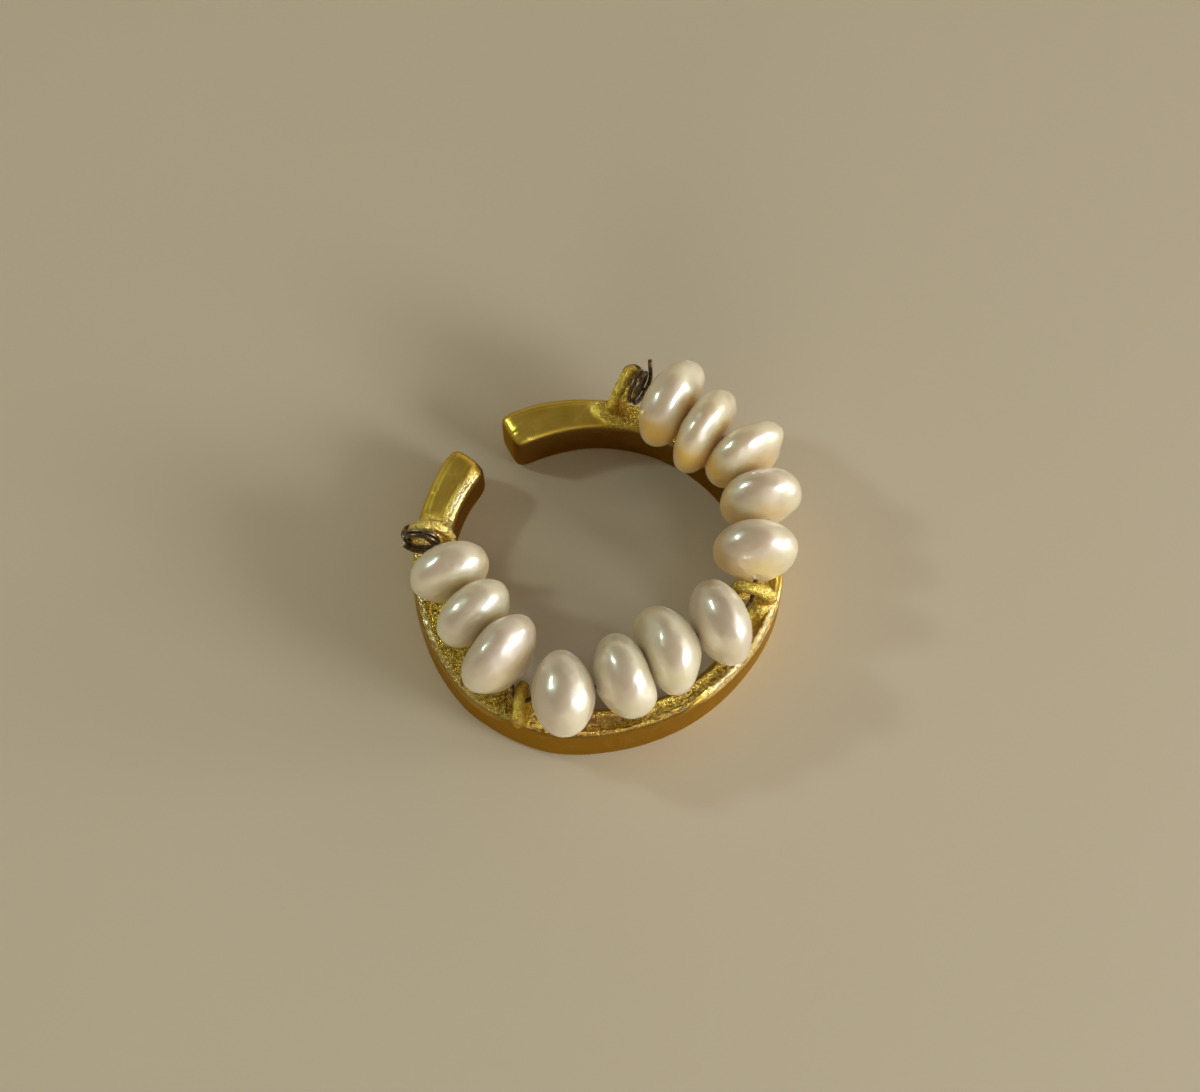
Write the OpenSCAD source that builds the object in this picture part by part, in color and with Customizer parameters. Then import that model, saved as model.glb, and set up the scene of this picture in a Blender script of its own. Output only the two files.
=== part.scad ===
// Open finger ring with twelve drilled button pearls strung along one side face of a cast band.
// Millimetres. The ring lies on its plain side face, with the pearls up. The origin is the centre
// of the finger hole on that face, +X is to the right and +Y away from the viewer.

/* [Band] */
// Inside diameter of the finger hole
finger_hole_d = 17; // [16.5:0.5:19]
// Height of the band, from the face it lies on to the face that carries the pearls
band_h = 3.2; // [2.8:0.1:3.6]
// Thickness of the wall at the three corners of its rounded outline
corner_wall = 2.1; // [2:0.1:2.6]
// How far the three corners are pushed out of the round by hand bending
corner_push = 1.6; // [0.4:0.1:1.8]
// Direction of the first corner
corner_at = 3; // [0:1:10]
// Direction of the middle of the opening
opening_at = 131; // [128:1:134]
// Width of the opening, as an angle at the centre
opening_angle = 18; // [12:1:24]
// Rounding along the band's edges
edge_r = 0.5; // [0.3:0.05:0.6]
// Rounding of the two tips
tip_r = 0.7; // [0.4:0.05:0.8]

/* [Loops] */
// Outside diameter of a soldered loop
loop_d = 2.8; // [2.6:0.05:3]
// Thickness of a loop's own wire
loop_wire_d = 0.7; // [0.6:0.05:0.75]

/* [Pearls] */
// Hole drilled through each pearl
drill_d = 0.8; // [0.8:0.05:1]
// Rounding of a pearl's rim, as a share of its thickness
rim_share = 0.38; // [0.3:0.01:0.44]

/* [Wire] */
// Thickness of the stringing wire
string_d = 0.25; // [0.2:0.01:0.3]
// Turns of wire that tie each end to its loop
tie_turns = 3; // [2:1:3]
// Free tail left standing at the last loop
tail_length = 1.1; // [0.5:0.1:1.5]

/* [Hidden] */
$fn = 96;

// Where each soldered loop stands, in the order of the string
// angle, distance from the centre, turn about the upright, lean along the string,
// solder's distance from the centre, size as a share of the loops' diameter
LOOPS = [
  [173.5, 9.45, 0, 8, 9.45, 1],
  [244.3, 9.85, 18, 0, 9.65, 0.93],
  [-15.8, 8.8, 0, 9, 9.35, 0.97],
  [82.5, 10.25, -20, 0, 9.4, 1.1],
];
LOOP_ANGLE = 0;
LOOP_REACH = 1;
LOOP_TURN = 2;
LOOP_LEAN = 3;
LOOP_SOLDER = 4;
LOOP_SIZE = 5;

// One row per pearl, in the order of the string
// angle, distance from the centre, size across, thickness, turn about the upright
PEARLS = [
  [191.7, 8.3, 4.6, 2.7, 5],
  [211.5, 7.95, 4.6, 2.55, 5],
  [230.5, 8.55, 5.0, 2.5, -4],
  [257.4, 9.0, 4.75, 3.1, 13],
  [279, 7.9, 4.75, 2.75, 16],
  [300, 7.4, 4.95, 2.7, -3],
  [324, 8.1, 4.9, 2.85, -30],
  [357.4, 8.55, 4.7, 2.75, 3],
  [377.3, 9.3, 4.65, 2.65, -4],
  [393.5, 9.75, 4.95, 2.35, -2],
  [409, 8.95, 5.25, 2.2, 6],
  [425, 9.45, 5.2, 2.6, -5],
];
PEARL_ANGLE = 0;
PEARL_REACH = 1;
PEARL_ACROSS = 2;
PEARL_THICK = 3;
PEARL_TURN = 4;

hole_r = finger_hole_d / 2;
outline_x = -0.33;
corner_r = hole_r + corner_wall;
side_r = corner_r + (sqrt(3) - 1) * corner_push;
side_pitch = 120;
over = 1;
seat_gap = 0.1;

loop_sink = 0.25;
solder_r = 0.75;
solder_rise = 0.25;

// The wire's own sizes: sides of its section, steps in a turn, air between its turns
string_sides = 6;
steps_per_turn = 12;
wire_air = 0.04;
wrap_r = (loop_wire_d + string_d) / 2 + 2 * wire_air;
coil_r = 0.95;
coil_pitch = string_d + wire_air;
pass_before = 0.6;
pass_after = 0.25;
pass_rise = 0.3;

// Unit direction in the plane of the ring
function heading(a) = [cos(a), sin(a), 0];
function unit(v) = v / norm(v);

// The outside of the band is where four discs overlap: one rounds off the three corners, and the
// others make the three sides, each set off away from its side. A row is a radius and a centre.
DISCS = concat(
  [[corner_r, [outline_x, 0, 0]]],
  [for (i = [0 : 2]) [side_r, [outline_x, 0, 0] + corner_push * heading(corner_at + i * side_pitch)]]
);

// Distance from the centre of the hole to the outside of the band
function reach_at(a) = min([for (disc = DISCS) let (along = disc[1] * heading(a))
  along + sqrt(disc[0] * disc[0] - disc[1] * disc[1] + along * along)]);

// Disc as high as the band, with rounded top and bottom edges
module rounded_disc(radius)
  rotate_extrude() {
    square([radius - edge_r, band_h]);
    translate([0, edge_r]) square([radius, band_h - 2 * edge_r]);
    translate([radius - edge_r, edge_r]) circle(edge_r);
    translate([radius - edge_r, band_h - edge_r]) circle(edge_r);
  }

// Finger hole with rounded lips
module finger_hole()
  rotate_extrude() {
    translate([0, -over]) square([hole_r, band_h + 2 * over]);
    for (top = [0, 1]) translate([hole_r, top * band_h]) mirror([0, top]) difference() {
      translate([-over, -over]) square([over + edge_r, over + edge_r]);
      translate([edge_r, edge_r]) circle(edge_r);
    }
  }

// Quarter-round strip that is cut away along an edge, with its corner on the Z axis
module edge_cove(radius, length)
  linear_extrude(length) difference() {
    translate([-over, -over]) square([over + radius, over + radius]);
    translate([radius, radius]) circle(radius);
  }

// Rounds the four edges of one tip: side is 1 where the metal lies towards growing angles
module tip_rounding(a, side) {
  outer_r = reach_at(a);
  rotate(a) mirror([0, side > 0 ? 0 : 1, 0]) {
    translate([hole_r, 0, -over]) edge_cove(tip_r, band_h + 2 * over);
    translate([outer_r, 0, -over]) mirror([1, 0, 0]) edge_cove(tip_r, band_h + 2 * over);
    for (top = [0, 1]) translate([hole_r - over, 0, top * band_h]) mirror([0, 0, top])
      rotate([90, 0, 90]) edge_cove(edge_r, corner_wall + 2 * over);
  }
}

// Soldered loop, standing across the string
function loop_radius(row) = (row[LOOP_SIZE] * loop_d - loop_wire_d) / 2;
function loop_centre(row) = row[LOOP_REACH] * heading(row[LOOP_ANGLE])
  + [0, 0, band_h + row[LOOP_SIZE] * loop_d / 2 - loop_sink];
function loop_out(row) = heading(row[LOOP_ANGLE] + row[LOOP_TURN]);
function loop_along(row) = let (a = row[LOOP_ANGLE] + row[LOOP_TURN] + 90, lean = row[LOOP_LEAN])
  cos(lean) * heading(a) + [0, 0, sin(lean)];

module loop(row) {
  translate(loop_centre(row)) rotate(row[LOOP_ANGLE] + row[LOOP_TURN])
    rotate([90 + row[LOOP_LEAN], 0, 0]) rotate_extrude()
      translate([loop_radius(row), 0]) circle(d = loop_wire_d);
  translate(row[LOOP_SOLDER] * heading(row[LOOP_ANGLE]) + [0, 0, band_h + solder_rise - solder_r])
    sphere(solder_r);
}

module band() {
  color([0.72, 0.53, 0.2]) {
    difference() {
      intersection_for (disc = DISCS) translate(disc[1]) rounded_disc(disc[0]);
      finger_hole();
      translate([0, 0, -over])
        rotate_extrude(angle = opening_angle, start = opening_at - opening_angle / 2)
          square([2 * hole_r, band_h + 2 * over]);
      tip_rounding(opening_at + opening_angle / 2, 1);
      tip_rounding(opening_at - opening_angle / 2, -1);
    }
    for (row = LOOPS) loop(row);
  }
}

// Half outline of a button pearl: crowned faces that run tangent into a round rim
module pearl_outline(across, thick) {
  rim_r = rim_share * thick;
  rim_at = across / 2 - rim_r;
  face_r = (thick * thick / 4 + rim_at * rim_at - rim_r * rim_r) / (thick - 2 * rim_r);
  face_drop = face_r - thick / 2;
  meets_at = rim_at * face_r / (face_r - rim_r);
  difference() {
    union() {
      translate([rim_at, 0]) circle(rim_r);
      intersection() {
        translate([0, -face_drop]) circle(face_r);
        translate([0, face_drop]) circle(face_r);
        translate([0, -thick]) square([meets_at, 2 * thick]);
      }
    }
    translate([-across, -thick]) square([across + drill_d / 2, 2 * thick]);
  }
}

// A pearl rests on the band by its rim, and its drilled hole lies along the string
function pearl_centre(row) = row[PEARL_REACH] * heading(row[PEARL_ANGLE])
  + [0, 0, band_h + row[PEARL_ACROSS] / 2 + seat_gap];
function pearl_along(row) = heading(row[PEARL_ANGLE] + row[PEARL_TURN] + 90);
function pearl_end(row, end) = pearl_centre(row) + end * row[PEARL_THICK] / 2 * pearl_along(row);

module pearl(row)
  color([0.93, 0.87, 0.78]) translate(pearl_centre(row))
    rotate(row[PEARL_ANGLE] + row[PEARL_TURN]) rotate([90, 0, 0])
      rotate_extrude() pearl_outline(row[PEARL_ACROSS], row[PEARL_THICK]);

// Route of the wire from a pearl's hole through an end loop, round one side of that loop, and
// back in a coil of loose turns. limb is 1 for the loop's outer side and -1 for its inner side,
// end is 1 where the pearls lie towards growing angles, and shift and rise set the coil off
// from the loop's centre, outwards and upwards.
function tie_route(row, start, turns, limb, end, shift, rise) =
  let (out = limb * loop_out(row), along = end * loop_along(row), up = [0, 0, 1],
       side_centre = loop_centre(row) + loop_radius(row) * out,
       coil_centre = loop_centre(row) + shift * loop_out(row) + rise * up)
  concat(
    [start],
    [for (a = [0 : 40 : 280]) side_centre - wrap_r * cos(a) * out - wrap_r * sin(a) * along],
    [for (i = [0 : floor(turns * steps_per_turn)]) let (a = i * 360 / steps_per_turn)
      coil_centre + (wrap_r + coil_pitch * a / 360) * along + coil_r * (cos(a) * out + sin(a) * up)]
  );

function reversed(list) = [for (i = [len(list) - 1 : -1 : 0]) list[i]];

// Route through the pearls and the two middle loops, which it passes just under their tops
function loop_passing(row) = [for (reach = [-pass_before, pass_after])
  loop_centre(row) + reach * loop_along(row) + [0, 0, pass_rise]];
function pearl_run(from, to) = [for (i = [from : to]) for (end = [-1, 1]) pearl_end(PEARLS[i], end)];

tail_to = tail_length * unit([0.2, 0.7, 0.65]);
first_tie = tie_route(LOOPS[0], pearl_end(PEARLS[0], -1), tie_turns - 1, 1, 1, 0.4, 0.4);
last_tie = tie_route(LOOPS[3], pearl_end(PEARLS[11], 1), tie_turns - 0.6, -1, -1, 0.3, 0.6);
string_route = concat(
  reversed(first_tie),
  [pearl_end(PEARLS[0], 1)],
  pearl_run(1, 2),
  loop_passing(LOOPS[1]),
  pearl_run(3, 6),
  loop_passing(LOOPS[2]),
  pearl_run(7, 10),
  [pearl_end(PEARLS[11], -1)],
  last_tie,
  [last_tie[len(last_tie) - 1] + tail_to]
);

// Round wire swept along a route, with its section carried from point to point without twisting
function tangents(route) = [for (i = [0 : len(route) - 1])
  unit(unit(route[min(i + 1, len(route) - 1)] - route[max(i - 1, 0)])
     + (i > 0 && i < len(route) - 1
        ? unit(route[i + 1] - route[i]) + unit(route[i] - route[i - 1]) : [0, 0, 0]))];
function squared(v, t) = unit(v - (v * t) * t);
function normals(dirs) = [for (i = 0, n = squared([0, 0, 1], dirs[0]); i < len(dirs);
  i = i + 1, n = i < len(dirs) ? squared(n, dirs[i]) : n) n];

module wire(route, d, sides) {
  dirs = tangents(route);
  ups = normals(dirs);
  last = len(route) - 1;
  polyhedron(
    points = [for (i = [0 : last]) for (k = [0 : sides - 1]) let (a = k * 360 / sides)
      route[i] + d / 2 * (cos(a) * ups[i] + sin(a) * cross(dirs[i], ups[i]))],
    faces = concat(
      [[for (k = [0 : sides - 1]) k]],
      [for (i = [0 : last - 1]) for (k = [0 : sides - 1]) let (n = (k + 1) % sides)
        [i * sides + k, (i + 1) * sides + k, (i + 1) * sides + n, i * sides + n]],
      [[for (k = [sides - 1 : -1 : 0]) last * sides + k]]
    )
  );
}

module stringing_wire() color([0.3, 0.25, 0.2]) wire(string_route, string_d, string_sides);

band();
for (i = [0 : len(PEARLS) - 1])
  pearl(PEARLS[i]);
stringing_wire();
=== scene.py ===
"""Open gilt ring with button pearls strung along its upper side face, lying on a pale floor."""
import math
from collections import namedtuple

import bmesh
import bpy
from mathutils import Euler, Matrix, Vector


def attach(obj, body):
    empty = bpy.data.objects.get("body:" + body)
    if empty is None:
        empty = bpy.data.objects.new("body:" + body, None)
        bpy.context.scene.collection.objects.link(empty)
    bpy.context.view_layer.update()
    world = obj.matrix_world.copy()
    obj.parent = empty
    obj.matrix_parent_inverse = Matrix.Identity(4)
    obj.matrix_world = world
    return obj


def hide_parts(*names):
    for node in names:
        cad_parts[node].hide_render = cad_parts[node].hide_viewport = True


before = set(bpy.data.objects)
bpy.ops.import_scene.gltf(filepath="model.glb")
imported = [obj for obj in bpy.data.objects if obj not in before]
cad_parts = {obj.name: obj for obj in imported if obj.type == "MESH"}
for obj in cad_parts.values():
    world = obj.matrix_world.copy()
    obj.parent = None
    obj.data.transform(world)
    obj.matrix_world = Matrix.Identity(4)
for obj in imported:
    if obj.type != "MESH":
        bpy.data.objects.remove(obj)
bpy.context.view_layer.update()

MM = 0.001
UP = Vector((0, 0, 1))

# The band in millimetres and degrees, as the part's source has it
HOLE_R = 8.5
BAND_H = 3.2
CORNER_WALL = 2.1
CORNER_PUSH = 1.6
CORNER_AT = 3
OPENING_AT = 131
OPENING_ANGLE = 18
OUTLINE_X = -0.33
FIRST_TIP = OPENING_AT + OPENING_ANGLE / 2
SWEEP = 360 - OPENING_ANGLE

# Loops in the order of the string: angle round the ring, distance from its centre, turn about the
# upright, lean along the string, the solder's distance, size and how far the loop is rubbed smoother and
# given a painted highlight
Loop = namedtuple("Loop", "angle distance turn lean solder_at size shine")
LOOPS = [
    Loop(173.5, 9.45, 0, 8, 9.45, 1.0, 0.4),
    Loop(244.3, 9.85, 18, 0, 9.65, 0.93, 0),
    Loop(-15.8, 8.8, 0, 9, 9.35, 0.97, 0.2),
    Loop(82.5, 10.25, -20, 0, 9.4, 1.1, 0),
]
LOOP_D = 2.8
LOOP_WIRE_D = 0.7
LOOP_SINK = 0.25
SOLDER_R = 0.75
SOLDER_RISE = 0.25

# Pearls in the order of the string: angle, distance, size across, thickness, turn about the
# upright, further turn as it has settled on the wire, and how strongly painted light bounced from the gold
# below tints it
Pearl = namedtuple("Pearl", "angle distance across thick turn settled warmth")
PEARLS = [
    Pearl(191.7, 8.3, 4.6, 2.7, 5, 4, 0.5),
    Pearl(211.5, 7.95, 4.6, 2.55, 5, 0, 0.4),
    Pearl(230.5, 8.55, 5.0, 2.5, -4, 0, 0.45),
    Pearl(257.4, 9.0, 4.75, 3.1, 13, 4, 0.25),
    Pearl(279, 7.9, 4.75, 2.75, 16, -5, 0.35),
    Pearl(300, 7.4, 4.95, 2.7, -3, -6, 0.4),
    Pearl(324, 8.1, 4.9, 2.85, -30, 0, 0.5),
    Pearl(357.4, 8.55, 4.7, 2.75, 3, 0, 0.9),
    Pearl(377.3, 9.3, 4.65, 2.65, -4, 0, 1.0),
    Pearl(393.5, 9.75, 4.95, 2.35, -2, 0, 1.2),
    Pearl(409, 8.95, 5.25, 2.2, 6, 0, 1.4),
    Pearl(425, 9.45, 5.2, 2.6, -5, 0, 1.2),
]
DRILL_R = 0.18
SEAT_GAP = 0.1

# Stringing wire
STRING_D = 0.25
TIE_TURNS = 3
TAIL_LENGTH = 0.85
TAIL_WAY = (-0.05, 0.7, 0.65)
WIRE_AIR = 0.04
WRAP_R = (LOOP_WIRE_D + STRING_D) / 2 + 2 * WIRE_AIR
COIL_R = 0.95
COIL_PITCH = STRING_D + WIRE_AIR
STEPS_PER_TURN = 12


def heading(angle):
    """Unit direction in the plane of the ring."""
    return Vector((math.cos(math.radians(angle)), math.sin(math.radians(angle)), 0))


def outline_discs():
    """Radius and centre of the four discs whose overlap is the outside of the band."""
    corner_r = HOLE_R + CORNER_WALL
    side_r = corner_r + (math.sqrt(3) - 1) * CORNER_PUSH
    middle = Vector((OUTLINE_X, 0, 0))
    return [(corner_r, middle)] + [
        (side_r, middle + CORNER_PUSH * heading(CORNER_AT + 120 * side)) for side in range(3)]


def reach_at(angle):
    """Distance from the centre of the hole to the outside of the band."""
    reaches = []
    for radius, centre in outline_discs():
        along = centre.dot(heading(angle))
        reaches.append(along + math.sqrt(radius ** 2 - centre.length_squared + along ** 2))
    return min(reaches)


# Bench tools

def clear_bench():
    if bpy.context.mode != "OBJECT":
        bpy.ops.object.mode_set(mode="OBJECT")
    bpy.ops.object.select_all(action="DESELECT")


def take(piece):
    """Makes one piece the only one selected, and the active one."""
    clear_bench()
    piece.select_set(True)
    bpy.context.view_layer.objects.active = piece


def named(name):
    """Names the primitive that was just added."""
    piece = bpy.context.active_object
    piece.name = piece.data.name = name
    return piece


def shape(piece):
    take(piece)
    bpy.ops.object.mode_set(mode="EDIT")


def pick_points(piece, test):
    """Selects the points whose place passes a test."""
    bpy.ops.mesh.select_mode(type="VERT")
    bpy.ops.mesh.select_all(action="DESELECT")
    work = bmesh.from_edit_mesh(piece.data)
    for point in work.verts:
        if test(point.co):
            point.select_set(True)
    work.select_flush_mode()
    bmesh.update_edit_mesh(piece.data)


def pick_faces(piece, test):
    """Selects the faces whose middle passes a test."""
    bpy.ops.mesh.select_mode(type="FACE")
    bpy.ops.mesh.select_all(action="DESELECT")
    work = bmesh.from_edit_mesh(piece.data)
    for face in work.faces:
        if test(face.calc_center_median()):
            face.select_set(True)
    work.select_flush_mode()
    bmesh.update_edit_mesh(piece.data)


def lift(by_mm):
    """Moves what is selected straight up."""
    bpy.ops.transform.translate(value=(0, 0, by_mm * MM))


def drag(way, width_mm):
    """Moves what is selected along a way in metres, and the surface round it softly with it."""
    bpy.ops.transform.translate(value=way, use_proportional_edit=True,
                                proportional_edit_falloff="SMOOTH", proportional_size=width_mm * MM)


def pull(piece, towards, by_mm, width_mm):
    """Pulls the point that lies furthest towards a direction."""
    aim = Vector(towards).normalized()
    points = bmesh.from_edit_mesh(piece.data).verts
    tip = max(points, key=lambda point: point.co.dot(aim)).co.copy()
    pick_points(piece, lambda place: (place - tip).length < 1e-7)
    drag([c * by_mm * MM for c in aim], width_mm)


def apply(piece, kind, **settings):
    """Adds a modifier and applies it at once."""
    take(piece)
    modifier = piece.modifiers.new(kind.title(), kind)
    for key, value in settings.items():
        setattr(modifier, key, value)
    bpy.ops.object.modifier_apply(modifier=modifier.name)


def smooth_over(piece, levels):
    apply(piece, "SUBSURF", levels=levels, render_levels=levels)


def lumps(name, size_mm):
    """Soft random relief for displacing a surface."""
    texture = bpy.data.textures.new(name, "CLOUDS")
    texture.noise_scale = size_mm * MM
    texture.noise_depth = 1
    return texture


def displace(piece, texture, height_mm, **settings):
    """Raises and sinks a surface by a texture, by height_mm in all."""
    apply(piece, "DISPLACE", texture=texture, strength=height_mm * MM, mid_level=0.5,
          texture_coords="LOCAL", **settings)


def set_down(piece, placement=None):
    """Puts a piece in its place, with the place in its mesh."""
    take(piece)
    if placement is not None:
        piece.matrix_world = placement
    bpy.ops.object.transform_apply(location=True, rotation=True, scale=True)
    bpy.ops.object.shade_smooth()


def ramp(value, low, high):
    """0 below low, 1 above high, soft between."""
    share = min(max((value - low) / (high - low), 0), 1)
    return share * share * (3 - 2 * share)


def store(piece, name, values):
    """Stores a value for each point, for the finish to read."""
    piece.data.attributes.new(name, "FLOAT", "POINT").data.foreach_set("value", values)


# Materials

class Signal:
    """A socket of a material, with arithmetic written as Python expressions."""

    def __init__(self, recipe, socket):
        self.recipe, self.socket = recipe, socket

    def _sum(self, operation, *values):
        return self.recipe.node("ShaderNodeMath", {"operation": operation}, dict(enumerate(values)))

    def __add__(self, other):
        return self._sum("ADD", self, other)

    def __radd__(self, other):
        return self._sum("ADD", other, self)

    def __sub__(self, other):
        return self._sum("SUBTRACT", self, other)

    def __rsub__(self, other):
        return self._sum("SUBTRACT", other, self)

    def __mul__(self, other):
        return self._sum("MULTIPLY", self, other)

    def __rmul__(self, other):
        return self._sum("MULTIPLY", other, self)


class Recipe:
    """One material, made of nodes that feed a principled shader."""

    def __init__(self, name):
        self.material = bpy.data.materials.new(name)
        self.material.use_nodes = True
        self.nodes = self.material.node_tree.nodes
        self.links = self.material.node_tree.links
        self.shader = self.nodes["Principled BSDF"]
        self.place = self.node("ShaderNodeTexCoord", output="Object")

    def node(self, kind, settings=None, sockets=None, output=0):
        node = self.nodes.new(kind)
        for key, value in (settings or {}).items():
            setattr(node, key, value)
        for key, value in (sockets or {}).items():
            self.feed(node.inputs[key], value)
        return Signal(self, node.outputs[output])

    def feed(self, socket, value):
        if isinstance(value, Signal):
            self.links.new(value.socket, socket)
        elif hasattr(socket.default_value, "__len__") and len(socket.default_value) == 4:
            socket.default_value = (*value, 1)
        else:
            socket.default_value = value

    def set(self, **sockets):
        for key, value in sockets.items():
            self.feed(self.shader.inputs[key.replace("_", " ")], value)

    def noise(self, size_mm, detail=3.0, roughness=0.5, shift=0.0):
        """Noise whose grains are about size_mm across, from 0 to 1."""
        return self.node("ShaderNodeTexNoise", {"noise_dimensions": "4D"}, {
            "Vector": self.place, "W": shift, "Scale": 1 / (size_mm * MM),
            "Detail": detail, "Roughness": roughness})

    def between(self, value, low, high):
        """0 at low, 1 at high, soft between."""
        return self.node("ShaderNodeMapRange", {"interpolation_type": "SMOOTHSTEP"}, {
            "Value": value, "From Min": low, "From Max": high})

    def mix(self, share, first, second):
        return self.node("ShaderNodeMix", {"data_type": "RGBA"}, {0: share, 6: first, 7: second}, 2)

    def relief(self, height, depth_mm, strength=1.0, under=None):
        sockets = {"Height": height, "Distance": depth_mm * MM, "Strength": strength}
        if under is not None:
            sockets["Normal"] = under
        return self.node("ShaderNodeBump", None, sockets)

    def attribute(self, name):
        return self.node("ShaderNodeAttribute", {"attribute_name": name}, None, "Fac")


def gilt():
    """Gold plating over cast brass: satin where it was rubbed, granular where it was left, with painted
    shade on walls, rim, ledge and recess and painted highlights on rubbed edges and grains.
    """
    r = Recipe("gilt_brass")
    rough, rubbed = r.attribute("rough_casting"), r.attribute("rubbed")
    outer_wall, inner_wall = r.attribute("outer_wall"), r.attribute("inner_wall")
    cloud = r.noise(1.6, 3)
    grain = r.noise(0.2, 3, 0.7)
    fleck = r.noise(0.07, 2, 0.6, 3.0)
    wear = r.between(r.noise(0.7, 5, 0.65, 7.0), 0.5, 0.68)
    colour = r.mix(r.between(cloud, 0.35, 0.65), (0.63, 0.45, 0.07), (0.71, 0.52, 0.095))
    # Painted shade: steep outer faces, the rim edge and the ledge under the pearls darker brown
    colour = r.mix(outer_wall, colour, (0.44, 0.26, 0.05))
    # Painted shade: steep inner faces and the recess in front darker brown
    colour = r.mix(inner_wall, colour, (0.285, 0.155, 0.05))
    colour = r.mix(wear * 0.35, colour, (0.50, 0.27, 0.07))
    # Painted glints: some grains of the rough casting lighter yellow, brown on the walls; others darker
    bright = r.mix(outer_wall, (0.92, 0.78, 0.19), (0.60, 0.36, 0.09))
    colour = r.mix(rough * r.between(grain, 0.42, 0.6), colour, bright)
    colour = r.mix(rough * r.between(grain, 0.5, 0.38), colour, (0.36, 0.19, 0.045))
    # Painted highlight: rubbed edges and loops paler gold, standing in for the glare of the lamps
    colour = r.mix(rubbed * 0.6, colour, (0.94, 0.76, 0.33))
    roughness = (0.26 + 0.12 * cloud + 0.10 * wear + 0.10 * outer_wall
                 - 0.22 * rough * fleck - 0.10 * rubbed)
    soft = r.relief(cloud + 0.4 * wear, 0.05, 0.5)
    fine = r.relief(r.noise(0.03, 2, 0.5, 5.0), 0.004, 0.35, soft)
    granular = r.relief(rough * (grain + 0.5 * fleck), 0.4, 1.0, fine)
    r.set(Base_Color=colour, Metallic=1.0, Roughness=roughness, Normal=granular)
    r.set(Specular_Tint=(0.75, 0.52, 0.25))
    r.set(Coat_Weight=0.03 + 0.25 * rough + 0.3 * rubbed, Coat_Roughness=0.12, Coat_IOR=1.6)
    return r.material


def nacre():
    """Freshwater pearl: cream body under a clear lustrous skin, with painted gold bounce light and a
    painted dark mauve reflection.
    """
    r = Recipe("nacre")
    gold_bounce, dark_reflection = r.attribute("warm_nacre"), r.attribute("mauve_nacre")
    tone = r.between(r.noise(2.6, 2, 0.4), 0.35, 0.65)
    blush = r.between(r.noise(3.4, 2, 0.4, 4.0), 0.45, 0.62)
    cloud = r.noise(0.5, 3, 0.5, 9.0)
    colour = r.mix(tone, (0.59, 0.55, 0.39), (0.65, 0.61, 0.46))
    colour = r.mix(blush * 0.5, colour, (0.50, 0.41, 0.35))
    # Painted reflection: faces turned up and forward darker mauve
    colour = r.mix(dark_reflection * 0.62, colour, (0.42, 0.325, 0.26))
    # Painted bounce light: orange where the gold below would reflect onto the pearl
    colour = r.mix(gold_bounce, colour, (0.76, 0.50, 0.10))
    bump = r.relief(r.noise(0.9, 3, 0.5, 2.0), 0.03, 0.35)
    r.set(Base_Color=colour, Roughness=0.36 + 0.10 * cloud, Normal=bump)
    r.set(IOR=2.3, Subsurface_Weight=1.0, Subsurface_Radius=(1.0, 0.88, 0.66),
          Subsurface_Scale=2.2 * MM)
    r.set(Coat_Weight=0.9, Coat_Roughness=0.1, Coat_IOR=1.75)
    r.set(Sheen_Weight=0.5, Sheen_Roughness=0.4, Sheen_Tint=(1.0, 0.95, 0.87))
    return r.material


def tarnished_wire():
    """Thin brass wire, darkened all over and rubbed bright in places."""
    r = Recipe("dark_wire")
    rub = r.between(r.noise(0.35, 3, 0.6), 0.5, 0.68)
    colour = r.mix(rub, (0.11, 0.08, 0.055), (0.42, 0.31, 0.18))
    r.set(Base_Color=colour, Metallic=0.9, Roughness=0.3 + 0.2 * rub,
          Normal=r.relief(r.noise(0.06, 2), 0.01, 0.5))
    return r.material


def studio_floor():
    r = Recipe("studio_floor")
    tone = r.noise(30, 3)
    r.set(Base_Color=r.mix(tone, (0.57, 0.505, 0.375), (0.60, 0.535, 0.405)), Roughness=0.75)
    return r.material


GILT = gilt()
NACRE = nacre()
DARK_WIRE = tarnished_wire()


def hand_over(piece, node, material):
    """Gives a finished piece its finish, and lets it stand for the node of the frame."""
    piece.data.materials.clear()
    piece.data.materials.append(material)
    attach(piece, "root")
    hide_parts(node)


# Pearls

PEARL_SEGMENTS = 32
PEARL_RINGS = 24
CROWN = 2.15  # 2 is an ellipsoid, more is a fuller button
SWELL = 0.14  # how much thicker a pearl is than its solid, to sit close to its neighbours

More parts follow.
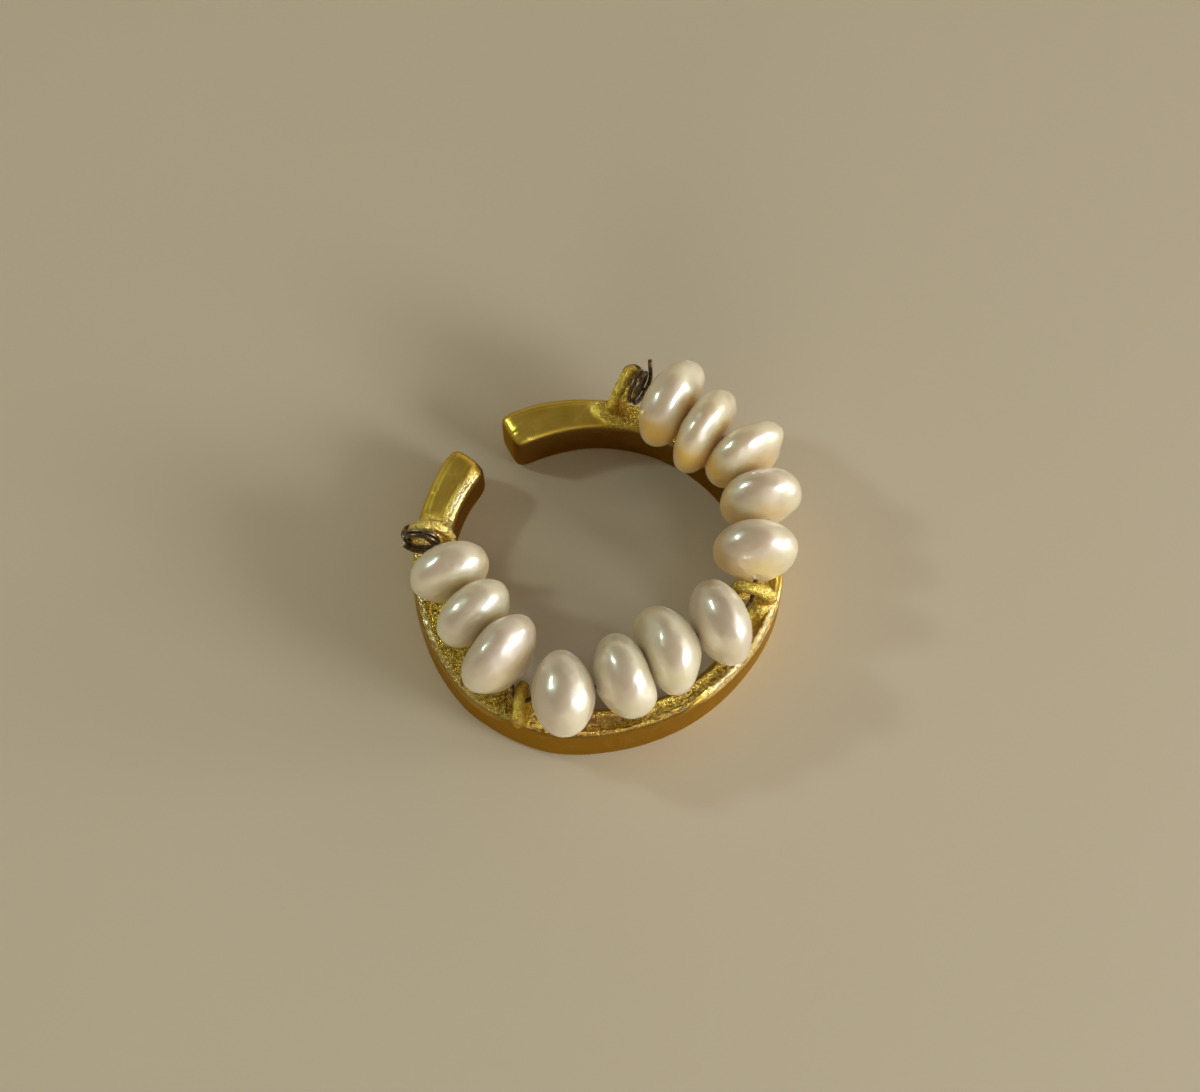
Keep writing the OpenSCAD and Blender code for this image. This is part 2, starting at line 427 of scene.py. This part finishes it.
# Pulls on single pearls, each towards (outwards, down, along the string), by and width
PULLS = {
    1: [((-0.8, 0, 1), -0.2, 1.8), ((-0.8, 0, -1), -0.2, 1.8), ((1, -0.4, 0.5), 0.1, 1.8)],
    2: [((-0.8, 0, 1), -0.14, 1.6), ((-0.8, 0, -1), -0.1, 1.6), ((1, -0.6, 0), 0.06, 1.6)],
    3: [((0.4, -0.6, -1), -0.14, 1.8), ((-0.8, -0.6, 0.4), 0.1, 1.6),
        ((0, 0, 1), 0.42, 3.0), ((0.6, -0.3, 1), 0.14, 1.8)],
    4: [((0, 0, 1), 0.1, 2.2), ((0, 0, -1), 0.1, 2.2), ((-1, 0, 1), -0.2, 2.0),
        ((-1, 0, -1), -0.14, 1.8), ((0.5, -0.6, 1), 0.12, 1.4)],
    5: [((0, 0, -1), 0.14, 2.2), ((0.7, 0, 1), 0.2, 1.8), ((-1, 0, -1), -0.1, 1.8),
        ((1, -0.3, 1), 0.08, 1.6), ((1, 0, -1), -0.1, 1.4)],
    6: [((0, 0, 1), 0.34, 2.6), ((-0.8, 0, -1), 0.36, 2.0), ((-0.4, -1, -0.8), -0.06, 1.6),
        ((1, 0, 1), -0.12, 1.6), ((-0.8, -0.6, 0), 0.08, 1.6)],
    7: [((-1, 0, 0.8), 0.06, 1.6), ((1, 0, -1), -0.14, 1.8), ((1, -0.2, 1), -0.1, 1.6)],
    8: [((0, 0, -1), 0.16, 2.4), ((1, -0.6, -0.3), 0.08, 1.5), ((-1, -0.4, -0.6), 0.06, 1.5)],
    9: [((1, -0.2, -1), 0.04, 1.6), ((-1, 0, 1), -0.06, 1.6)],
    10: [((0.9, 0, 1), -0.3, 1.5), ((0.9, 0, -1), -0.16, 1.6), ((1, -0.2, 0), 0.14, 1.0)],
    11: [((-0.8, -0.4, 1), -0.06, 1.6)],
    12: [((0, 0, 1), 0.12, 2.4), ((0.8, -0.4, -1), 0.25, 1.6), ((0.5, -1, -1.6), -0.26, 1.2),
         ((-0.6, -0.6, 1), 0.12, 1.8)],
}

PEARL_LUMPS = lumps("pearl_lumps", 1.8)
PEARL_SKIN = lumps("pearl_skin", 0.7)
LUMPS_HEIGHT = 0.14
SKIN_HEIGHT = 0.06


def pearl_centre(row):
    return row.distance * heading(row.angle) + UP * (BAND_H + row.across / 2 + SEAT_GAP)


def pearl_axes(row):
    """Axes of a pearl: outwards, down and along the string."""
    turn = row.turn + row.settled
    return heading(row.angle + turn), -UP, heading(row.angle + turn + 90)


def pearl_end(row, end):
    """Middle of a mouth of the drilled hole."""
    return pearl_centre(row) + end * row.thick / 2 * pearl_axes(row)[2]


def standing(centre, axes):
    """Placement of a piece at a centre in millimetres, turned to three axes."""
    return Matrix.Translation(centre * MM) @ Matrix(axes).transposed().to_4x4()


def drill(piece, half):
    """Takes both caps of a pearl out and joins their edges by a tunnel with crisp mouths."""
    pick_points(piece, lambda place: abs(place.z) > 0.999 * half)
    bpy.ops.mesh.delete(type="VERT")
    pick_points(piece, lambda place: place.xy.length < 1.02 * DRILL_R * MM)
    bpy.ops.mesh.bridge_edge_loops()
    pick_points(piece, lambda place: place.xy.length < 1.02 * DRILL_R * MM)
    bpy.ops.transform.edge_crease(value=1.0)


def make_pearl(number, row):
    """A button pearl: a ball pressed flat along the string, made fuller, drilled and then uneven."""
    thick = row.thick + SWELL
    radius, half = row.across / 2 * MM, thick / 2 * MM
    clear_bench()
    bpy.ops.mesh.primitive_uv_sphere_add(segments=PEARL_SEGMENTS, ring_count=PEARL_RINGS, radius=radius)
    piece = named(f"pearl_{number}_nacre")
    shape(piece)
    bpy.ops.transform.resize(value=(1, 1, thick / row.across))
    for ring in range(1, PEARL_RINGS):
        latitude = math.pi * (ring / PEARL_RINGS - 0.5)
        height = math.sin(latitude)
        fuller = (1 - abs(height) ** CROWN) ** (1 / CROWN) / math.cos(latitude)
        if ring in (1, PEARL_RINGS - 1):
            fuller = DRILL_R * MM / (radius * math.cos(latitude))
        pick_points(piece, lambda place: abs(place.z - height * half) < 1e-3 * half)
        bpy.ops.transform.resize(value=(fuller, fuller, 1))
    drill(piece, half)
    for towards, by, width in PULLS[number]:
        pull(piece, towards, by, width)
    bpy.ops.object.mode_set(mode="OBJECT")
    set_down(piece, standing(pearl_centre(row), pearl_axes(row)))
    smooth_over(piece, 1)
    displace(piece, PEARL_LUMPS, LUMPS_HEIGHT)
    smooth_over(piece, 1)
    displace(piece, PEARL_SKIN, SKIN_HEIGHT)
    mark_nacre(piece, row)
    hand_over(piece, f"pearl_{number}", NACRE)


def mark_nacre(piece, row):
    """Stores painted light on the nacre: warm light bounced from the gold, low down, inwards and round the
    drill, and a dark mauve reflection on the faces turned up.
    """
    centre, (out, _, along) = pearl_centre(row), pearl_axes(row)
    dark_reflection_side = Vector((-0.15, -0.35, 0.92))
    gold_bounce, dark_reflection = [], []
    for point in piece.data.vertices:
        place = point.co / MM - centre
        low = ramp(-place.z / row.across * 2, 0.0, 1.0)
        end = ramp(abs(place.dot(along)) / row.thick * 2, 0.72, 1.02)
        inner = ramp(-(place.dot(out) + 0.6 * place.z) / row.across * 2, 0.2, 1.05)
        gold_bounce.append(min(row.warmth * (0.1 + 0.4 * low + 0.4 * end + 1.1 * inner), 1))
        dark_reflection.append(ramp(point.normal.dot(dark_reflection_side), 0.72, 0.97))
    store(piece, "warm_nacre", gold_bounce)
    store(piece, "mauve_nacre", dark_reflection)


for number, row in enumerate(PEARLS, 1):
    make_pearl(number, row)


# Band

# Turns round the band are in degrees, counted from the first tip
STATIONS = 150
DOME_ANGLE = 3.0
WALL = 1.9  # before the section is drawn out to the outline
TOP_CUTS = 9
TOP_FROM = BAND_H - 0.8
INNER_EDGE_R = 0.5
OUTER_EDGE_R = 0.26
LEDGE_FROM = 37
LEDGE_TO = SWEEP - 44
LEDGE_DROP = 0.24
RIM_W = 0.4
RECESS_FROM = 119
RECESS_TO = 143
RECESS_DROP = 0.3
FILED = [(42, 100, 0.24), (152, 211, 0.3)]  # from, to and drop of each filed stretch of the rim
CROWN_LIFT = 0.1
ROUNDED_FROM = 45
ROUNDING = 0.09
DOME = [(0.3, 0.97), (0.24, 0.9), (0.12, 0.68)]  # steps by which a tip grows out, and narrows
TIP_STRETCH = 1.45
TIP_BEND = 0.2
TIP_BEND_WIDTH = 5


def turn_at(place):
    """Turn of a place round the ring, counted from the first tip."""
    return (math.degrees(math.atan2(place.y, place.x)) - FIRST_TIP + 10) % 360 - 10


def within(value, low, high):
    return low * MM < value < high * MM


def band_section():
    """Flat section of the band at the first tip: rounded corners and a top edge ready to shape."""
    middle, outside = HOLE_R + WALL / 2, HOLE_R + WALL
    first = heading(FIRST_TIP + DOME_ANGLE)
    clear_bench()
    bpy.ops.mesh.primitive_plane_add(
        size=MM, rotation=(math.pi / 2, 0, math.radians(FIRST_TIP + DOME_ANGLE)),
        location=(middle * first + UP * BAND_H / 2) * MM)
    piece = named("band_body")
    piece.scale = (WALL, BAND_H, 1)
    bpy.ops.object.transform_apply(location=True, rotation=True, scale=True)
    shape(piece)
    pick_points(piece, lambda p: p.z < 0.1 * MM)
    bpy.ops.mesh.bevel(offset=INNER_EDGE_R * MM, segments=3, affect="VERTICES")
    pick_points(piece, lambda p: p.z > (BAND_H - 0.01) * MM and p.xy.length < middle * MM)
    bpy.ops.mesh.bevel(offset=INNER_EDGE_R * MM, segments=1, affect="VERTICES")
    pick_points(piece, lambda p: p.z > (BAND_H - INNER_EDGE_R - 0.01) * MM
                and p.xy.length < middle * MM)
    bpy.ops.mesh.subdivide(number_cuts=2)
    pick_points(piece, lambda p: p.z > 0.9 * BAND_H * MM and p.xy.length > (outside - 0.01) * MM)
    bpy.ops.mesh.bevel(offset=OUTER_EDGE_R * MM, segments=3, affect="VERTICES")
    pick_points(piece, lambda p: p.z > (BAND_H - 0.001) * MM)
    bpy.ops.mesh.subdivide(number_cuts=TOP_CUTS)
    return piece


def sink_ledge(piece):
    """Sinks the ledge under the pearls in three soft steps, and leaves the outer rim standing."""
    for inset, share in ((0, 0.25), (4, 0.35), (8, 0.4)):
        ledge_edge = HOLE_R + WALL - RIM_W - inset / 20
        pick_points(piece, lambda p: p.z > TOP_FROM * MM and p.xy.length < ledge_edge * MM
                    and LEDGE_FROM + inset < turn_at(p) < LEDGE_TO - inset)
        lift(-share * LEDGE_DROP)


def sink_recess(piece):
    """Sinks a recess along the rim in front."""
    for inset, margin in ((0, 0.05), (4, 0.2)):
        pick_points(piece, lambda p: p.z > TOP_FROM * MM
                    and within(p.xy.length, HOLE_R + WALL - 1.3 + margin, HOLE_R + WALL - RIM_W - margin)
                    and RECESS_FROM + inset < turn_at(p) < RECESS_TO - inset)
        lift(-RECESS_DROP / 2)


def file_rim(piece):
    """Files the rim off outwards on the left and on the right."""
    for first, last, drop in FILED:
        for inset in (0, 5):
            for from_edge, share in ((0.34, 0.4), (0.12, 0.6)):
                pick_points(piece, lambda p: p.z > (BAND_H - 0.45) * MM
                            and p.xy.length > (HOLE_R + WALL - from_edge) * MM
                            and first + inset < turn_at(p) < last - inset)
                lift(-share * drop / 2)


def crown_arms(piece):
    """Crowns both arms that stay bare."""
    for inner, outer, share in ((0.5, 0.2, 0.5), (0.75, 0.45, 0.5)):
        pick_points(piece, lambda p: p.z > (BAND_H - 0.01) * MM
                    and within(p.xy.length, HOLE_R + inner, HOLE_R + WALL - outer)
                    and not LEDGE_FROM - 4 < turn_at(p) < LEDGE_TO + 4)
        lift(share * CROWN_LIFT)


def draw_out(piece):
    """Draws each station out to the outline, and past the left arm rounds off its inner edge."""
    for station in range(STATIONS + 1):
        turn = DOME_ANGLE + station * (SWEEP - 2 * DOME_ANGLE) / STATIONS
        across = heading(FIRST_TIP + turn)
        stretch = (reach_at(FIRST_TIP + turn) - HOLE_R) / WALL
        if turn > ROUNDED_FROM:
            pick_points(piece, lambda p: abs(turn_at(p) - turn) < 0.1
                        and within(p.xy.length, HOLE_R + 0.1, HOLE_R + 0.4) and p.z > MM)
            bpy.ops.transform.translate(value=ROUNDING * MM * (UP - across))
        pick_points(piece, lambda p: abs(turn_at(p) - turn) < 0.1)
        bpy.ops.transform.resize(
            value=(stretch, 1, 1), center_override=across * HOLE_R * MM, orient_type="LOCAL",
            orient_matrix=Matrix.Rotation(math.radians(FIRST_TIP + turn), 3, "Z"),
            orient_matrix_type="LOCAL")


def dome_tips(piece):
    """Grows both tips out into low domes, the left one further."""
    for end, turn, longer in ((-1, DOME_ANGLE, TIP_STRETCH), (1, SWEEP - DOME_ANGLE, 1)):
        across = heading(FIRST_TIP + turn)
        outwards = end * heading(FIRST_TIP + turn + 90)
        pick_faces(piece, lambda place: abs(turn_at(place) - turn) < 0.1)
        centre = (across * (HOLE_R + reach_at(FIRST_TIP + turn)) / 2 + UP * BAND_H / 2) * MM
        for step, narrower in DOME:
            step *= longer
            centre = centre + outwards * step * MM
            bpy.ops.mesh.extrude_region_move(TRANSFORM_OT_translate={"value": outwards * step * MM})
            bpy.ops.transform.resize(value=[narrower] * 3, center_override=centre)


def band_body():
    """The open band: its section, spun round the finger, worked on top and drawn out to the outline."""
    piece = band_section()
    bpy.ops.mesh.select_all(action="SELECT")
    bpy.ops.mesh.spin(steps=STATIONS, angle=math.radians(SWEEP - 2 * DOME_ANGLE),
                      center=(0, 0, 0), axis=(0, 0, -1))
    for job in (sink_ledge, sink_recess, file_rim, crown_arms, draw_out, dome_tips):
        job(piece)
    # The left tip is bent out a little
    pick_points(piece, lambda p: turn_at(p) < 1)
    drag(TIP_BEND * MM * heading(FIRST_TIP), TIP_BEND_WIDTH)
    bpy.ops.mesh.select_all(action="SELECT")
    bpy.ops.mesh.remove_doubles(threshold=0.002 * MM)
    bpy.ops.mesh.normals_make_consistent(inside=False)
    bpy.ops.object.mode_set(mode="OBJECT")
    smooth_over(piece, 2)
    return piece


def between_turns(place, first, last, soft=8):
    """1 from one turn to another, soft at both."""
    turn = turn_at(place)
    return ramp(turn, first - soft / 2, first + soft / 2) * ramp(-turn, -last - soft / 2, -last + soft / 2)


def edge_at(place):
    """Distance from the centre to the outside of the band, in the direction of a place."""
    return reach_at(FIRST_TIP + turn_at(place))


def roughness_at(place):
    """How granular the ledge, the rim on the right, the left arm and the ends' solder were left."""
    reach = place.xy.length / MM
    rim_from = edge_at(place) - 0.34
    ledge_to = rim_from + 0.26 * between_turns(place, 40, 162, 14)
    ledge = (between_turns(place, LEDGE_FROM + 2, LEDGE_TO - 2, 12)
             * ramp(reach, HOLE_R + 0.1, HOLE_R + 0.4)
             * ramp(-reach, -ledge_to - 0.06, -ledge_to + 0.1)
             * (1 - 0.75 * between_turns(place, 192, 215, 10))
             * (1 - 0.5 * recess_shade_at(place)))
    right_rim = 0.6 * between_turns(place, 165, 206, 14) * ramp(reach, rim_from - 0.4, rim_from)
    left_arm = (between_turns(place, 5, 34) * ramp(-reach, -HOLE_R - 0.85, -HOLE_R - 0.65)
                * (0.1 + 0.25 * ramp(reach, HOLE_R + 0.35, HOLE_R + 0.5)))
    solder = max(0.7 * ramp(-(place / MM - row.distance * heading(row.angle) - UP * BAND_H).length,
                            -2.2, -1.1) for row in (LOOPS[0], LOOPS[3]))
    return ramp(place.z / MM, BAND_H - 0.9, BAND_H - 0.45) * max(ledge, right_rim, left_arm, solder)


def rim_and_ledge_shade_at(place):
    """How far the rim and the ledge get painted shade, the darker brown of the outer wall: along the rim
    edge, and on the ledge under the pearls in front and on the right.
    """
    rim_from = edge_at(place) - 0.3
    rim = ramp(place.xy.length / MM, rim_from, rim_from + 0.1)
    ledge = ramp(place.z / MM, BAND_H - 1, BAND_H - 0.6)
    return max(0.5 * rim * between_turns(place, -9, LEDGE_FROM),
               0.8 * rim * between_turns(place, 104, 160, 14),
               0.7 * rim * between_turns(place, 213, 240),
               0.5 * rim * between_turns(place, LEDGE_TO, 349),
               0.85 * ledge * between_turns(place, 104, 148, 16),
               0.8 * ledge * between_turns(place, 192, 214, 10) * (1 - rim))


def recess_shade_at(place):
    """How strongly the recess in front is darkened with painted shade."""
    reach = place.xy.length / MM
    edge = edge_at(place)
    return (0.9 * between_turns(place, RECESS_FROM, RECESS_TO, 6)
            * ramp(place.z / MM, BAND_H - 1.2, BAND_H - 0.9)
            * ramp(reach, edge - 1.3, edge - 1.1) * ramp(-reach, 0.3 - edge, 0.45 - edge))


def rubbed_and_glint_at(place):
    """How far the left arm's inner edge and both filed stretches of the rim are rubbed smoother and made
    paler, a painted highlight.
    """
    reach = place.xy.length / MM
    rim_from = edge_at(place) - 0.5
    return ramp(place.z / MM, BAND_H - 0.75, BAND_H - 0.5) * max(
        between_turns(place, 1, 38, 4) * ramp(-reach, -HOLE_R - 0.7, -HOLE_R - 0.5),
        0.8 * between_turns(place, 168, 210) * ramp(reach, rim_from - 0.1, rim_from + 0.1),
        0.7 * between_turns(place, 44, 98) * ramp(reach, rim_from + 0.05, rim_from + 0.25))


def mark_band(piece):
    """Stores how the finish changes over the band, with painted shade on steep faces, the rim, the ledge
    and the recess and a painted highlight where rubbed, and groups its granular points for the grains.
    """
    points = piece.data.vertices
    rough = [roughness_at(point.co) for point in points]
    # How steep each face is, for the painted shade on the walls
    wall = [ramp(1 - abs(point.normal.z), 0.35, 0.8) for point in points]
    inside = [point.normal.xy.dot(point.co.xy) < 0 for point in points]
    store(piece, "rough_casting", rough)
    # Painted shade: steep outer faces, rim and ledge outside; steep inner faces and the recess inside
    store(piece, "outer_wall", [0.0 if inner else max(steep, rim_and_ledge_shade_at(point.co))
                                for steep, inner, point in zip(wall, inside, points)])
    store(piece, "inner_wall", [steep if inner else recess_shade_at(point.co)
                                for steep, inner, point in zip(wall, inside, points)])
    store(piece, "rubbed", [rubbed_and_glint_at(point.co) for point in points])
    grains = piece.vertex_groups.new(name="grains")
    for point, share in zip(points, rough):
        if share > 0:
            grains.add([point.index], share, "REPLACE")


def mark_fitting(piece, rough, rubbed):
    """Stores one finish all over a loop or its solder, with no painted shade and a given share of painted
    highlight.
    """
    for name, share in (("rough_casting", rough), ("outer_wall", 0), ("inner_wall", 0), ("rubbed", rubbed)):
        store(piece, name, [float(share)] * len(piece.data.vertices))


# Loops and their solder

METAL_LUMPS = lumps("metal_lumps", 1.1)
SOLDER_LUMPS = lumps("solder_lumps", 0.7)


def loop_centre(row):
    return row.distance * heading(row.angle) + UP * (BAND_H + row.size * LOOP_D / 2 - LOOP_SINK)


def loop_axes(row):
    """Axes of a loop: outwards and along the string."""
    along = heading(row.angle + row.turn + 90)
    lean = math.radians(row.lean)
    return heading(row.angle + row.turn), math.cos(lean) * along + math.sin(lean) * UP


def soldered_loop(number, row):
    """One loop of wire, standing across the string, with its blob of solder."""
    clear_bench()
    bpy.ops.mesh.primitive_torus_add(major_segments=40, minor_segments=14,
                                     major_radius=(row.size * LOOP_D - LOOP_WIRE_D) / 2 * MM,
                                     minor_radius=LOOP_WIRE_D / 2 * MM)
    loop = named(f"loop_{number}")
    set_down(loop, Matrix.Translation(loop_centre(row) * MM)
             @ Matrix.Rotation(math.radians(row.angle + row.turn), 4, "Z")
             @ Matrix.Rotation(math.radians(90 + row.lean), 4, "X"))
    displace(loop, METAL_LUMPS, 0.2)
    displace(loop, SOLDER_LUMPS, 0.12)
    mark_fitting(loop, 0.4, row.shine)
    clear_bench()
    bpy.ops.mesh.primitive_uv_sphere_add(segments=32, ring_count=20, radius=SOLDER_R * MM)
    solder = named(f"solder_{number}")
    set_down(solder, Matrix.Translation(
        (row.solder_at * heading(row.angle) + UP * (BAND_H + SOLDER_RISE - SOLDER_R)) * MM))
    displace(solder, SOLDER_LUMPS, 0.3)
    smooth_over(solder, 1)
    mark_fitting(solder, 0.6, row.shine)
    return [loop, solder]


band = band_body()
mark_band(band)
displace(band, lumps("casting_grains", 0.22), 0.11, vertex_group="grains")
displace(band, lumps("hand_bending", 4.5), 0.12)
set_down(band)
fittings = [part for number, row in enumerate(LOOPS, 1) for part in soldered_loop(number, row)]
take(band)
for part in fittings:
    part.select_set(True)
bpy.ops.object.join()
band.vertex_groups.clear()
hand_over(band, "band", GILT)


# Stringing wire

def tie_route(row, start, turns, end, shift, rise):
    """From a pearl's hole through an end loop, round its outer side and back in a loose coil."""
    out, along = loop_axes(row)
    onwards = end * along
    loop_r = (row.size * LOOP_D - LOOP_WIRE_D) / 2
    side_centre = loop_centre(row) + loop_r * out
    coil_centre = loop_centre(row) + shift * out + rise * UP
    route = [start]
    for turn in range(0, 281, 40):
        wrap = math.radians(turn)
        route.append(side_centre - WRAP_R * math.cos(wrap) * out - WRAP_R * math.sin(wrap) * onwards)
    for step in range(int(turns * STEPS_PER_TURN) + 1):
        coil = step * 2 * math.pi / STEPS_PER_TURN
        route.append(coil_centre + (WRAP_R + COIL_PITCH * step / STEPS_PER_TURN) * onwards
                     + COIL_R * (math.cos(coil) * out + math.sin(coil) * UP))
    return route


def loop_passing(row):
    """Where the wire goes through a middle loop, just under its top."""
    return [loop_centre(row) + reach * loop_axes(row)[1] + 0.3 * UP for reach in (-0.6, 0.25)]


def pearl_run(first, last):
    return [pearl_end(row, end) for row in PEARLS[first - 1:last] for end in (-1, 1)]


def drawn_wire(name, route, thickness):
    """Round wire, drawn out from point to point."""
    clear_bench()
    bpy.ops.curve.primitive_nurbs_path_add(radius=MM)
    wire = named(name)
    bpy.ops.object.mode_set(mode="EDIT")
    points = wire.data.splines[0].points
    for point in points:
        point.select = True
    points[-1].select = False
    bpy.ops.curve.delete(type="VERT")
    start = wire.data.splines[0].points[0]
    start.co = (*(route[0] * MM), 1)
    start.select = True
    for before, after in zip(route, route[1:]):
        bpy.ops.curve.extrude_move(TRANSFORM_OT_translate={"value": (after - before) * MM})
    spline = wire.data.splines[0]
    spline.order_u = 4
    spline.use_endpoint_u = True
    spline.resolution_u = 4
    bpy.ops.object.mode_set(mode="OBJECT")
    wire.data.dimensions = "3D"
    wire.data.bevel_depth = thickness / 2 * MM
    wire.data.bevel_resolution = 3
    wire.data.use_fill_caps = True
    bpy.ops.object.convert(target="MESH")
    wire = bpy.context.active_object
    set_down(wire)
    return wire


first_tie = tie_route(LOOPS[0], pearl_end(PEARLS[0], -1), TIE_TURNS - 1, 1, 0.35, 0.85)
last_tie = tie_route(LOOPS[3], pearl_end(PEARLS[11], 1), TIE_TURNS - 0.9, -1, 0.3, 0.6)
tail = last_tie[-1] + TAIL_LENGTH * Vector(TAIL_WAY).normalized()
string = (first_tie[::-1] + [pearl_end(PEARLS[0], 1)] + pearl_run(2, 3) + loop_passing(LOOPS[1])
          + pearl_run(4, 7) + loop_passing(LOOPS[2]) + pearl_run(8, 11)
          + [pearl_end(PEARLS[11], -1)] + last_tie + [tail])
hand_over(drawn_wire("string", string, STRING_D), "stringing_wire", DARK_WIRE)


# Studio

FLOOR_SIZE = 0.9
FLOOR_AT = (0, 0.1, 0)
RING_MIDDLE = Vector((0, 0, 0.004))

# Soft round lamps that face the ring: place, size, power, colour, whether each lights what is matt
# and whether it shows in what is glossy
LAMPS = {
    "window": ((0.29, -0.15, 0.135), 0.125, 0.55, (0.95, 0.98, 1.0), True, True),
    "window_glow": ((0.30, -0.145, 0.13), 0.15, 0.52, (0.74, 0.82, 1.0), False, True),
    "front_fill": ((0.02, -0.33, 0.10), 0.2, 0.28, (1.0, 0.95, 0.86), True, False),
    "side_window": ((0.33, -0.005, 0.07), 0.11, 0.3, (1.0, 0.99, 0.97), True, True),
    "side_glow": ((0.33, -0.01, 0.072), 0.13, 0.45, (1.0, 0.99, 0.97), False, True),
    "far_lamp": ((-0.25, 0.07, 0.22), 0.035, 0.14, (0.88, 1.0, 0.92), True, True),
    "far_glow": ((-0.25, 0.07, 0.22), 0.09, 0.42, (0.76, 1.0, 0.76), False, True),
}

# The room is bright low down, most of all on the right, and dark overhead: stops along that slope
ROOM_SLOPE = (-0.22, 0.02, 0.6)
ROOM_LEVEL = 0.32
ROOM_STOPS = [(0.1, (1.1, 0.97, 0.76)), (0.46, (0.95, 0.84, 0.66)), (0.68, (0.27, 0.22, 0.16))]
ROOM_STRENGTH = 0.8

# Camera, in metres and degrees from straight down
CAMERA_AT = (0.00001, -0.0519, 0.1192)
CAMERA_TILT = 24.5
LENS = 68.25
SENSOR = 36
SEES_FROM = 0.005
SEES_TO = 5


def lay_floor():
    clear_bench()
    bpy.ops.mesh.primitive_plane_add(size=FLOOR_SIZE, location=FLOOR_AT)
    floor = named("floor")
    floor.data.materials.append(studio_floor())


def hang_lamp(name, place, size, power, colour, diffuse, glossy):
    data = bpy.data.lights.new(name, "AREA")
    data.shape, data.size, data.energy, data.color = "DISK", size, power, colour
    lamp = bpy.data.objects.new(name, data)
    lamp.location = place
    lamp.visible_diffuse, lamp.visible_glossy = diffuse, glossy
    lamp.rotation_euler = (RING_MIDDLE - Vector(place)).to_track_quat("-Z", "Y").to_euler()
    bpy.context.scene.collection.objects.link(lamp)


def light_room():
    """Surrounds the ring with a soft room, whose light changes along one slope."""
    world = bpy.data.worlds.new("studio")
    bpy.context.scene.world = world
    world.use_nodes = True
    nodes, links = world.node_tree.nodes, world.node_tree.links
    direction = nodes.new("ShaderNodeTexCoord")
    slope = nodes.new("ShaderNodeVectorMath")
    slope.operation = "DOT_PRODUCT"
    slope.inputs[1].default_value = ROOM_SLOPE
    level = nodes.new("ShaderNodeMath")
    level.inputs[1].default_value = ROOM_LEVEL
    fade = nodes.new("ShaderNodeValToRGB")
    fade.color_ramp.elements.new(0.5)
    for stop, (at, colour) in zip(fade.color_ramp.elements, ROOM_STOPS):
        stop.position, stop.color = at, (*colour, 1)
    links.new(direction.outputs["Generated"], slope.inputs[0])
    links.new(slope.outputs["Value"], level.inputs[0])
    links.new(level.outputs[0], fade.inputs[0])
    links.new(fade.outputs[0], nodes["Background"].inputs["Color"])
    nodes["Background"].inputs["Strength"].default_value = ROOM_STRENGTH


def set_camera():
    data = bpy.data.cameras.new("camera")
    data.lens, data.sensor_width = LENS, SENSOR
    data.clip_start, data.clip_end = SEES_FROM, SEES_TO
    camera = bpy.data.objects.new("camera", data)
    camera.location = CAMERA_AT
    camera.rotation_euler = Euler((math.radians(CAMERA_TILT), 0, 0))
    bpy.context.scene.collection.objects.link(camera)
    bpy.context.scene.camera = camera


lay_floor()
for name, settings in LAMPS.items():
    hang_lamp(name, *settings)
light_room()
set_camera()
bpy.context.scene.view_settings.view_transform = "Standard"
